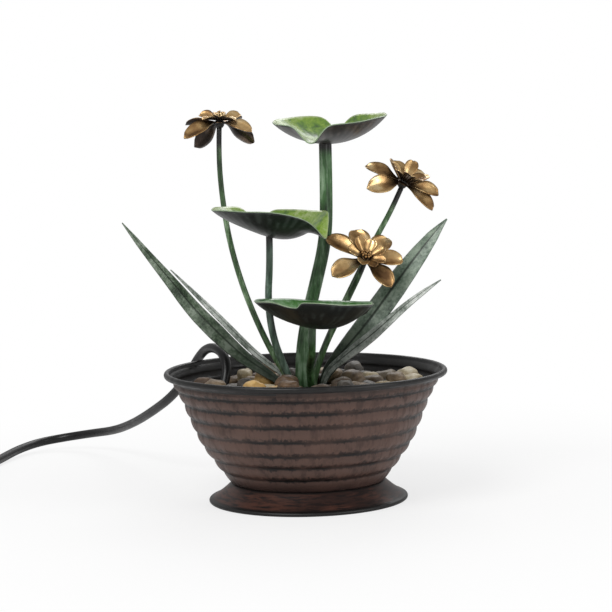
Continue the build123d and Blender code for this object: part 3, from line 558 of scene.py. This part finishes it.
def make_foot():
    """Flared foot: a flat ring under the bowl, a hollow slope and a rolled edge."""
    edge = foot_radius - foot_bead
    slope_end, hollow = 2.6, 0.9
    slope = [(neck_radius + (edge - neck_radius) * t,
              neck_height + (slope_end - neck_height) * t - hollow * math.sin(math.pi * t))
             for t in [k / 16 for k in range(1, 16)]]
    roll = [(edge + foot_bead * math.cos(a), foot_bead + foot_bead * math.sin(a))
            for a in [math.radians(70 - 22 * k) for k in range(12)]]
    back = [(edge - 1.6, 1.7)] + [(r - 0.8, z - 1.1) for r, z in slope[::-1]]
    under = neck_height - bowl_sheet
    ring = [(57.3, under), (foot_opening, under), (foot_opening, neck_height)]
    outline = [(foot_opening, neck_height), (neck_radius, neck_height)] + slope + roll + back + ring
    work = lathe(outline, 200)
    piece(work, "flared_foot", "base", [foot_paint], ["foot"])


# ================================ leaf cups
def turn_to(angle, other):
    """Signed degrees from one heading to another."""
    return (angle - other + 180) % 360 - 180


def bump_at(angle, middle, left, right, steep):
    """1 at the middle heading, falling off over left or right degrees."""
    away = turn_to(angle, middle)
    return math.exp(-abs(away / (left if away < 0 else right)) ** steep)


def leaf(name, node, centre, radius, tilt_x, tilt_y, cuts, wave, finishes, lean=0.0):
    """Lily leaf pressed from sheet.

    Each cut, a notch or a spout, gives its heading, its widths each way and its steepness, how far
    it cuts into the radius, how far it drops, and the share of the radius where that starts.
    Wave is the waviness of the rim, and lean moves the deepest place to the right.
    """
    rows = 34
    work = lathe([(radius * k / rows, 0) for k in range(rows + 1)], 288)
    edge = values_on(work, "edge")
    veins = values_on(work, "veins")
    ball = (radius ** 2 + leaf_depth ** 2) / (2 * leaf_depth)
    tilt = Matrix.Rotation(math.radians(tilt_x), 3, "X") @ Matrix.Rotation(math.radians(tilt_y), 3, "Y")
    for vert in work.verts:
        share = min(1.0, math.hypot(vert.co.x, vert.co.y) / radius)
        angle = math.degrees(math.atan2(vert.co.y, vert.co.x))
        reach = radius
        sink = 0.0
        for heading, left, right, steep, cut, drop, start in cuts:
            hump = bump_at(angle, heading, left, right, steep)
            reach -= radius * cut * hump
            fall = max(0.0, (share - start) / (1 - start))
            sink += drop * hump * fall ** 1.6
        far = share * reach
        height = ball - leaf_depth - math.sqrt(max(0.0, ball ** 2 - far ** 2))
        height += wave * share ** 3 * math.sin(math.radians(3 * angle + 40))
        height -= lean * math.sin(math.pi * share) * math.cos(math.radians(angle))
        height += 0.4 * wave * share ** 4 * math.sin(math.radians(7 * angle))
        veer = 1.6 * math.sin(math.radians(5 * angle))
        ridge = 0.5 + 0.5 * math.sin(math.radians(34 * angle) + veer)
        height += 0.14 * ridge * share * (1 - 0.6 * share)
        flat = math.radians(angle)
        vert[edge] = share
        vert[veins] = ridge * min(1.0, 1.6 * share)
        spot = Vector((far * math.cos(flat), far * math.sin(flat), height - sink))
        vert.co = tilt @ spot + Vector(centre)
    for face in work.faces:
        if face.normal.z < 0:
            face.normal_flip()
    thing = piece(work, name, "display", finishes, [node])
    press_from_sheet(thing, leaf_sheet, -1.0, back=1, edge=2)


# ================================ flowers
def petal_into(work, along, length, width, lift, droop, cup, root, place, kink, roll):
    """One spoon petal with a narrow neck, turned by roll about its own axis, added in its own place."""
    rows, columns = 16, 8
    widest, neck = 0.58, 0.34  # share of the length where it is widest, and the neck's share of the width
    made = bmesh.ops.create_grid(work, x_segments=rows, y_segments=columns, size=0.5)["verts"]
    for vert in made:
        u = vert.co.x + 0.5
        v = 2 * vert.co.y
        if u > widest:
            wide = math.sqrt(max(0.0, 1 - ((u - widest) / (1 - widest)) ** 2))
        else:
            ease = u / widest
            wide = neck + (1 - neck) * (3 * ease ** 2 - 2 * ease ** 3)
        x = root + (length - root) * u
        y = width / 2 * wide * v
        z = cup * wide * v ** 2 + cup * 0.8 * max(0.0, u - 0.75) * 4 * (u - 0.75)
        z -= 0.35 * math.exp(-(v / 0.22) ** 2) * math.sin(math.pi * min(1, u * 1.1))
        z += kink * math.sin(3.1 * u + v)
        turned = math.radians(roll) * min(1.0, 2.5 * u)
        y, z = y * math.cos(turned) - z * math.sin(turned), y * math.sin(turned) + z * math.cos(turned)
        z += math.tan(math.radians(lift)) * (x - root) - droop * u ** 2.2
        vert[along] = u
        vert.co = place @ Vector((x * math.cos(math.radians(lift) * 0.6), y, z))


def flower(name, centre, tilt_x, tilt_y, outer, inner, seed):
    """Metal water lily: outer petals, inner petals and stamens on one boss.

    Each petal gives its heading, its lift, its length and, where it is turned, its roll.
    """
    draw = random.Random(seed)
    seat = Matrix.Translation(centre) @ turned_by(tilt_x, "X") @ turned_by(tilt_y, "Y")
    # Of each layer: its petals, their width, how far from the middle they start, and their height.
    layers = (("outer", outer, 15.6, 4.2, 0.4), ("inner", inner, 9.6, 2.6, 2.6))
    for part, petals, width, root, low in layers:
        work = bmesh.new()
        along = values_on(work, "along")
        for heading, lift, length, *rest in petals:
            turn = turned_by(heading, "Z")
            raised = Matrix.Translation((0, 0, low + draw.uniform(-0.15, 0.15)))
            petal_into(work, along, length, width * draw.uniform(0.95, 1.05), lift, draw.uniform(1.2, 2.4),
                       draw.uniform(3.2, 4.2) * (1.0 if part == "outer" else 0.6), root,
                       seat @ raised @ turn, draw.uniform(0.1, 0.4), rest[0] if rest else 0)
        bmesh.ops.remove_doubles(work, verts=work.verts, dist=0.01)
        # A flat ring joins the petals; it and the boss under the flower are dark.
        ring = bmesh.ops.create_uvsphere(work, u_segments=20, v_segments=10, radius=root + 0.9)["verts"]
        bmesh.ops.scale(work, vec=(1, 1, 0.3), verts=ring)
        bmesh.ops.transform(work, matrix=seat @ Matrix.Translation((0, 0, low)), verts=ring)
        for face in {f for v in ring for f in v.link_faces}:
            if (seat.inverted() @ face.calc_center_median()).z < low + 0.2:
                face.material_index = 1
        if part == "outer":
            boss = bmesh.ops.create_uvsphere(work, u_segments=20, v_segments=12, radius=3.7)["verts"]
            bmesh.ops.transform(work, matrix=seat @ Matrix.Translation((0, 0, -0.5)), verts=boss)
            for face in {f for v in boss for f in v.link_faces}:
                face.material_index = 1
        thing = piece(work, f"lily_{name}_{part}_petals", "display",
                      [gold, dark_boss, shaded_gold_back], [f"flower_{name}_{part}_petals"])
        press_from_sheet(thing, petal_sheet, -1.0, back=2)
    work = bmesh.new()
    along = values_on(work, "along")
    tips = [(0.0, 0.0)] + [(2.1, 60 * k) for k in range(6)] + [(3.6, 40 * k + 15) for k in range(9)]
    for ring, heading in tips:
        height = draw.uniform(4.6, 6.4) - ring * 0.3
        root = seat @ Matrix.Translation((0, 0, 3.2)) @ turned_by(heading, "Z") @ turned_by(7 * ring, "Y")
        middle = root @ Matrix.Translation((ring * 0.4, 0, height / 2))
        stalk = bmesh.ops.create_cone(work, cap_ends=True, segments=8, radius1=0.4, radius2=0.3,
                                      depth=height, matrix=middle)["verts"]
        for vert in stalk:
            vert[along] = 0.15
        tip = root @ Matrix.Translation((ring * 0.4, 0, height))
        bead = bmesh.ops.create_icosphere(work, subdivisions=2, radius=draw.uniform(0.75, 1.0),
                                          matrix=tip)["verts"]
        for vert in bead:
            vert[along] = 0.5
    piece(work, f"lily_{name}_stamens", "display", [gold], [f"flower_{name}_stamens"])


# ================================ blade leaves
def blade(name, node, spine, widths, roll, finish):
    """Tapered leaf folded along its middle, from the hub to its tip, with its widths on the way."""
    rows, columns = 56, 12
    line = even_line(spine, rows + 1)
    ways = headings(line)
    work = bmesh.new()
    along = values_on(work, "along")
    across = values_on(work, "across")
    made = bmesh.ops.create_grid(work, x_segments=rows, y_segments=columns, size=0.5)["verts"]
    for vert in made:
        share = vert.co.x + 0.5
        v = 2 * vert.co.y
        index = min(rows, round(share * rows))
        spot, way = line[index], ways[index]
        exact = share * (len(widths) - 1)
        k = min(int(exact), len(widths) - 2)
        ease = exact - k
        width = widths[k] + (widths[k + 1] - widths[k]) * ease
        level = Vector((0, 1, 0)).cross(way).normalized()
        turned = math.radians(roll)
        side = level * math.cos(turned) + Vector((0, 1, 0)) * math.sin(turned)
        side = (side - way * side.dot(way)).normalized()
        face = way.cross(side)
        slope = math.radians(blade_fold)
        crease = math.sqrt(v * v + 0.012) - 0.5  # a fold with a rounded bottom
        curl = 0.05 * width * math.cos(math.pi * v)
        vert[along] = share
        vert[across] = abs(v)
        vert.co = (spot + side * (v * width / 2 * math.cos(slope))
                   + face * (crease * width / 2 * math.sin(slope) + curl))
    thing = piece(work, name, "display", [finish], [node])
    press_from_sheet(thing, blade_sheet, 0.0)


# ================================ pebbles
def stones_of(node):
    """Middle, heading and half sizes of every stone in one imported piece."""
    work = bmesh.new()
    work.from_mesh(nodes[node].data)
    bmesh.ops.remove_doubles(work, verts=work.verts, dist=1e-6)
    work.verts.ensure_lookup_table()
    seen = set()
    found = []
    for start in work.verts:
        if start.index in seen:
            continue
        group = []
        waiting = [start]
        seen.add(start.index)
        while waiting:
            vert = waiting.pop()
            group.append(vert.co / MM)
            for link in vert.link_edges:
                other = link.other_vert(vert)
                if other.index not in seen:
                    seen.add(other.index)
                    waiting.append(other)
        low = Vector([min(p[i] for p in group) for i in range(3)])
        high = Vector([max(p[i] for p in group) for i in range(3)])
        middle = (low + high) / 2
        best = max(range(0, 180, 6), key=lambda a: span(group, a))
        found.append((middle, best, span(group, best) / 2, span(group, best + 90) / 2,
                      (high.z - low.z) / 2))
    work.free()
    return found


def span(points, heading):
    """How far the points reach along a heading."""
    way = Vector((math.cos(math.radians(heading)), math.sin(math.radians(heading)), 0))
    reaches = [p.dot(way) for p in points]
    return max(reaches) - min(reaches)


def stone_into(work, shade, middle, heading, half, draw, boxy, tone):
    """One tumbled stone with flats and soft corners, added in its own place."""
    made = bmesh.ops.create_icosphere(work, subdivisions=4, radius=1.0)["verts"]
    shift = Vector([draw.uniform(-50, 50) for _ in range(3)])
    turn = (Matrix.Rotation(math.radians(heading), 3, "Z")
            @ Matrix.Rotation(draw.uniform(-0.12, 0.12), 3, "X"))
    for vert in made:
        unit = vert.co.normalized()
        norm = sum(abs(c) ** boxy for c in unit) ** (1 / boxy)
        lumps = 0.22 * noise.noise(unit * 1.2 + shift)
        size = (1 + lumps + 0.05 * noise.noise(unit * 3.0 + shift)) / norm
        shaped = Vector((unit.x * half[0], unit.y * half[1], unit.z * half[2])) * size
        vert.co = turn @ shaped + middle
        vert[shade] = tone


def make_stones(kind, finish, seed, tints):
    """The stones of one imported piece, in the same places, each with its own tint."""
    draw = random.Random(seed)
    work = bmesh.new()
    shade = work.verts.layers.float_color.new("shade")
    for middle, heading, long_half, wide_half, thick_half in stones_of("pebbles_" + kind):
        tint = draw.choice(tints)
        lightness = draw.uniform(0.82, 1.12)
        tone = [c * lightness for c in paint(tint)[:3]] + [1.0]
        half = (long_half * stone_swell, wide_half * stone_swell, thick_half * stone_swell_up)
        stone_into(work, shade, middle, heading, half, draw, draw.uniform(2.2, 3.3), tone)
    piece(work, "river_stones_" + kind, "display", [finish], ["pebbles_" + kind])


# ================================ mains cord
def coil_turns():
    """Points of the put-away cord, wound clockwise from its right side."""
    centre_x, centre_y = -318.0, 150.0
    layers = [(41.0, 3.8), (33.4, 3.8), (33.4, 11.3), (41.0, 11.3), (37.2, 18.8)]  # radius and height
    per_turn = 16
    spread = 1.012  # a spline runs inside the points that control it
    straight = 0.6  # share of a turn before it moves over to the next layer
    points = []
    for turn, (radius, height) in enumerate(layers):
        following = layers[min(turn + 1, len(layers) - 1)]
        for step in range(per_turn):
            share = step / per_turn
            ease = max(0.0, (share - straight) / (1 - straight))
            r = spread * (radius + (following[0] - radius) * ease)
            z = height + (following[1] - height) * ease
            angle = -math.tau * share
            points.append((centre_x + r * math.cos(angle), centre_y + r * math.sin(angle), z))
    return points


def make_cord():
    """Mains cord as one spline: out of the pump, over the rim, down to the table, its coil and plug."""
    route = [
        (-31, -28, 36), (-50, -28, 36), (-65, -15, 44), (-69, 4, 60), (-65, 16, 80), (-60, 23, 98),
        (-63.5, 32, 110), (-72.5, 49, 113.5), (-82, 69, 108), (-94, 88, 88), (-110, 110, 67),
        (-133, 150, 48), (-152, 196, 33.5), (-172, 238, 22), (-195, 266, 16), (-222, 278, 11),
        (-245, 268, 8.5), (-259, 242, 6.5), (-266, 215, 5), (-271, 192, 4.1), (-276, 170, 3.8),
    ]
    tail = [(-280.8, 152, 18.8), (-281.6, 134, 18.6), (-284, 110, 12.7), (-284, 90, 12.7)]
    points = route + coil_turns() + tail
    curve = smooth_curve("mains_cord", [(x * MM, y * MM, z * MM) for x, y, z in points], 10)
    curve.bevel_depth = cord_radius * MM
    curve.bevel_resolution = 6
    curve.use_fill_caps = True
    curve.materials.append(cord_rubber)
    cord = put_in_scene("mains_cord", curve)
    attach(cord, "base")
    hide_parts("cord_lead", "cord_coil", "cord_tail")


# ================================ the whole fountain
make_cord()
make_bowl()
make_foot()

water_route = [(-3, 0, 70.8), (-3, 0, 104), (1.2, 0, 133), (9.3, 0, 163), (17.7, 0, 196), (19.3, 0, 228),
               (19.3, 0, 272)]
rod("water_stem_tube", water_route, 4.9, water_stem_paint, ["water_stem"], sides=48, rows=120, flutes=5,
    flute_depth=0.14, flare=0.06)
rod("middle_leaf_rod", [(-11, -8, 80.3), (-11, -8, 90), (-16, -11, 103), (-23.4, -16, 124),
                        (-26.9, -19, 152), (-24.2, -28, 182), (-24.2, -28, 203)],
    2.5, middle_rod_paint, ["leaf_stem_middle"], flare=0.15)
rod("low_leaf_rod", [(4, -9, 80.3), (4, -9, 91), (3, -22, 103), (5, -46, 113), (5.5, -52, 124),
                     (6, -52, 138.5)],
    2.75, low_rod_paint, ["leaf_stem_low"])
flower_routes = {
    "left": [(-12, 6, 80.3), (-12, 6, 90), (-24, 9, 109), (-37, 13, 137), (-48, 16, 167),
             (-56.5, 18, 201), (-61, 18, 238), (-61.8, 15, 266), (-60.8, 14, 284)],
    "right": [(5, 6, 80.3), (5, 6, 90), (13.5, 8, 112.5), (25.5, 10, 138), (42, 12, 170),
              (57, 12, 198.5), (68.5, 10, 218), (76, 8, 234.5)],
    "front": [(5.5, -3, 80.3), (5.5, -3, 90), (15, -6, 117), (26, -8, 138), (35, -10, 156),
              (43, -14, 172), (46.5, -17, 181)],
}
for side, route in flower_routes.items():
    rod(f"{side}_flower_rod", route, 1.95, flower_rod_paint, [f"flower_stem_{side}"], sides=20, flare=0.25)

leaf("top_lily_leaf", "leaf_cup_top", (23.0, 0.0, 289.0), 42.6, 4.0, -1.9,
     [(248, 12.5, 13, 2.2, 0.04, 10.5, 0.45), (256, 50, 48, 2, 0.0, 4.2, 0.3),
      (80, 11, 11, 2, 0.20, 2.0, 0.5)], 0.6,
     [leaf_inside, leaf_back, rim_highlight_finish])
leaf("middle_lily_leaf", "leaf_cup_middle", (-22.6, -28.0, 221.0), 43.4, 1.2, 3.6,
     [(-9, 37, 13, 2.2, 0.02, 17.5, 0.64), (106, 11, 11, 2, 0.24, 2.5, 0.5)], 0.6,
     [leaf_inside, leaf_back_green, rim_highlight_finish], lean=3.0)
leaf("low_lily_leaf", "leaf_cup_low", (7.6, -52.0, 154.5), 43.2, -2.2, 2.9,
     [(252, 17, 4, 2.2, 0.03, 2.2, 0.55), (5, 4, 3, 2, 0.12, 3.0, 0.75)], 0.5,
     [low_leaf_inside, leaf_back_green, rim_highlight_finish], lean=1.5)

flower("left", (-60.6, 14.0, 287.0), 2.0, 3.0,
       [(208, -23, 30, -26), (133, -33, 31, 52), (20, -26, 29.5, -54), (338, -11, 27, 22), (172, -2, 26, 6),
        (60, 4, 27, -14)],
       [(150, 18, 18, -30), (30, 20, 18, 30), (95, 28, 15), (205, 8, 14), (330, 8, 14), (270, 30, 11)], 3)
flower("right", (77.2, 7.4, 238.0), 18.0, 28.0,
       [(170, -3, 31, -16), (212, -21, 31, -26), (116, 22, 24), (48, 26, 25), (2, 10, 29, 20),
        (330, -8, 31, 16)],
       [(150, 34, 16), (80, 46, 17), (20, 38, 16), (210, 38, 14), (270, 44, 14), (320, 38, 15)], 8)
flower("front", (46.7, -18.6, 182.4), 46.0, 10.0,
       [(147, 2, 34), (104, 6, 28), (50, 8, 28), (356, 10, 28), (313, -9, 29), (211, -9, 29)],
       [(170, 30, 15), (120, 36, 15), (70, 36, 14), (20, 32, 15), (330, 28, 16), (250, 34, 15),
        (290, 30, 15)], 21)

blade("left_broad_blade", "blade_left_broad",
      [(-16.2, -2, 80.3), (-17.5, -2, 89), (-33, -2, 100), (-49, -2, 111.5), (-73, -2, 136), (-84, -2, 148),
       (-98.5, -2, 167), (-113, -2, 185), (-124, -2, 199), (-135.4, -2, 213.7)],
      [4, 8, 12, 15, 17, 16, 14, 11, 8, 5, 0.6], 40, blade_paint_dark)
blade("left_slim_blade", "blade_left_slim",
      [(-12.5, 13, 80.3), (-14, 12.5, 92), (-30, 13, 104), (-42.5, 14, 115), (-60, 17, 133.5),
       (-78.5, 20, 152.5), (-91, 23, 165), (-102, 25, 176)],
      [4, 5, 6.5, 7, 7, 6.5, 5, 3, 0.6], 50, slim_paint)
blade("right_broad_blade", "blade_right_broad",
      [(12, 4, 80.3), (12.5, 4, 93), (30.5, 5, 113), (47, 6, 131), (64, 7, 153), (78, 8, 171.5),
       (92, 8, 189), (103, 8, 202.5), (110.4, 8, 210.2)],
      [4, 10, 15, 19, 21.5, 22.5, 22, 20, 16.5, 11, 1.0], -35, blade_paint)
blade("right_slim_blade", "blade_right_slim",
      [(12, -7, 80.3), (12.5, -8, 95), (30, -11, 109.5), (50.5, -15, 125), (64, -18, 137),
       (78, -20, 149), (94, -22, 160.5), (102.7, -22, 166)],
      [4, 7, 10, 12, 11.5, 9.5, 7.5, 5, 0.6], -50, slim_paint)

# Of each kind of stone: its seed, its dark, middle, light and seam colours, and its tints.
stones = {
    "tan": (4, ("#63594d", "#7f7364", "#9b8f7d", "#514941"), ("#ffffff", "#f2e6d6", "#e6d8c8", "#fff2dc")),
    "grey": (5, ("#423e3a", "#5b5650", "#777067", "#35312d"), ("#ffffff", "#e9e6e0", "#d9dde0", "#c8c4be")),
    "brown": (6, ("#4d4136", "#66584a", "#82715f", "#3c3128"), ("#ffffff", "#f0dcc8", "#e0cdb8", "#d2c0b0")),
    "pale": (7, ("#a08f6c", "#bcae90", "#d8cfb9", "#8a7552"),
             ("#ffffff", "#f1ece2", "#e4ded2", "#ffdda0", "#d8d2c8")),
}
for kind, (seed, colours, tints) in stones.items():
    make_stones(kind, river_stone("river_stone_" + kind, *colours), seed, tints)

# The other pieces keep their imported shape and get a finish.
finish_of = {
    "pebble_tray": tray_plastic, "hub_plate": hub_paint, "pump_housing": pump_plastic,
    "intake_cover": pump_plastic, "flow_gate": pump_plastic, "chamber_cover": pump_plastic,
    "cover_o_ring": rubber, "shaft_bushes": rubber, "suction_cups": rubber, "cord_gland": rubber,
    "stator_core": laminated_steel(), "stator_coil": wound_copper(), "motor_potting": potting,
    "rotor_magnet": ferrite, "rotor_shaft": ceramic, "impeller": impeller_plastic,
    "intake_sponge": open_foam(), "water_hose": silicone, "plug_body": plug_plastic,
    "plug_blades": plug_metal, "plug_ground_pin": plug_metal,
}
for name, finish in finish_of.items():
    nodes[name].data.materials.clear()
    nodes[name].data.materials.append(finish)


# ================================ floor, light and camera
def make_floor():
    """White paper that shows the shadow near the foot and fades into the white room further out."""
    dark_until, white_from, least_white = 0.12, 0.62, 0.66
    work = bmesh.new()
    bmesh.ops.create_circle(work, cap_ends=True, segments=64, radius=4.0)
    mesh = bpy.data.meshes.new("studio_floor")
    work.to_mesh(mesh)
    work.free()
    floor = put_in_scene("studio_floor", mesh)
    finish, tree, shader, place = begin("studio_paper", Roughness=0.9, Specular_IOR_Level=0.1)
    shader.inputs["Base Color"].default_value = paint("#f7f7f7")
    white = add(tree, "Emission", {"Color": paint("#ffffff"), "Strength": 1.0})
    seen = add(tree, "LightPath").outputs["Is Camera Ray"]
    away = add(tree, "VectorMath", {0: place}, operation="LENGTH").outputs["Value"]
    lifted = figure(tree, "MULTIPLY", seen,
                    between(tree, away, dark_until, white_from, least_white, 1.0))
    both = add(tree, "MixShader", {0: lifted, 1: shader.outputs[0], 2: white.outputs[0]})
    tree.links.new(both.outputs[0], tree.nodes["Material Output"].inputs["Surface"])
    mesh.materials.append(finish)


def softbox(name, spot, aim, size, power):
    """Rectangular lamp at a spot, turned to its aim."""
    lamp = bpy.data.lights.new(name, "AREA")
    lamp.shape = "RECTANGLE"
    lamp.size, lamp.size_y = size
    lamp.energy = power
    holder = put_in_scene(name, lamp)
    holder.location = spot
    holder.rotation_euler = (Vector(aim) - Vector(spot)).to_track_quat("-Z", "Y").to_euler()


def light_the_room():
    """Soft even light from all round, seen as plain white, and three softboxes."""
    world = bpy.data.worlds.new("studio")
    bpy.context.scene.world = world
    world.use_nodes = True
    tree = world.node_tree
    ambient = tree.nodes["Background"]
    ambient.inputs["Color"].default_value = paint("#ffffff")
    ambient.inputs["Strength"].default_value = 0.46
    white = add(tree, "Background", {"Color": paint("#ffffff"), "Strength": 1.0})
    path = add(tree, "LightPath").outputs
    seen = figure(tree, "MAXIMUM", path["Is Camera Ray"], path["Is Transmission Ray"])
    mix = add(tree, "MixShader", {0: seen, 1: ambient.outputs[0], 2: white.outputs[0]})
    tree.links.new(mix.outputs[0], tree.nodes["World Output"].inputs["Surface"])
    aim = (0, 0, 0.15)
    softbox("key_softbox", (-0.7, -1.1, 1.35), aim, (0.9, 0.7), 15.0)
    softbox("fill_softbox", (1.3, -0.9, 0.7), aim, (0.8, 0.9), 7.5)
    softbox("back_softbox", (0.2, 1.3, 1.2), aim, (1.2, 0.6), 8.0)


def aim_camera():
    """Long lens in front of the fountain and a little above it, tipped slightly to one side."""
    spot, pitch_down, roll = (0.00166, -1.3714, 0.2523), 4.378, 1.456
    lens = bpy.data.cameras.new("camera")
    lens.sensor_width = 36.0
    lens.lens = 106.78
    lens.clip_start = 0.05
    camera = put_in_scene("camera", lens)
    camera.matrix_world = (Matrix.Translation(spot) @ turned_by(90 - pitch_down, "X")
                           @ turned_by(-roll, "Z"))
    bpy.context.scene.camera = camera


make_floor()
light_the_room()
aim_camera()
bpy.context.scene.view_settings.view_transform = "Standard"
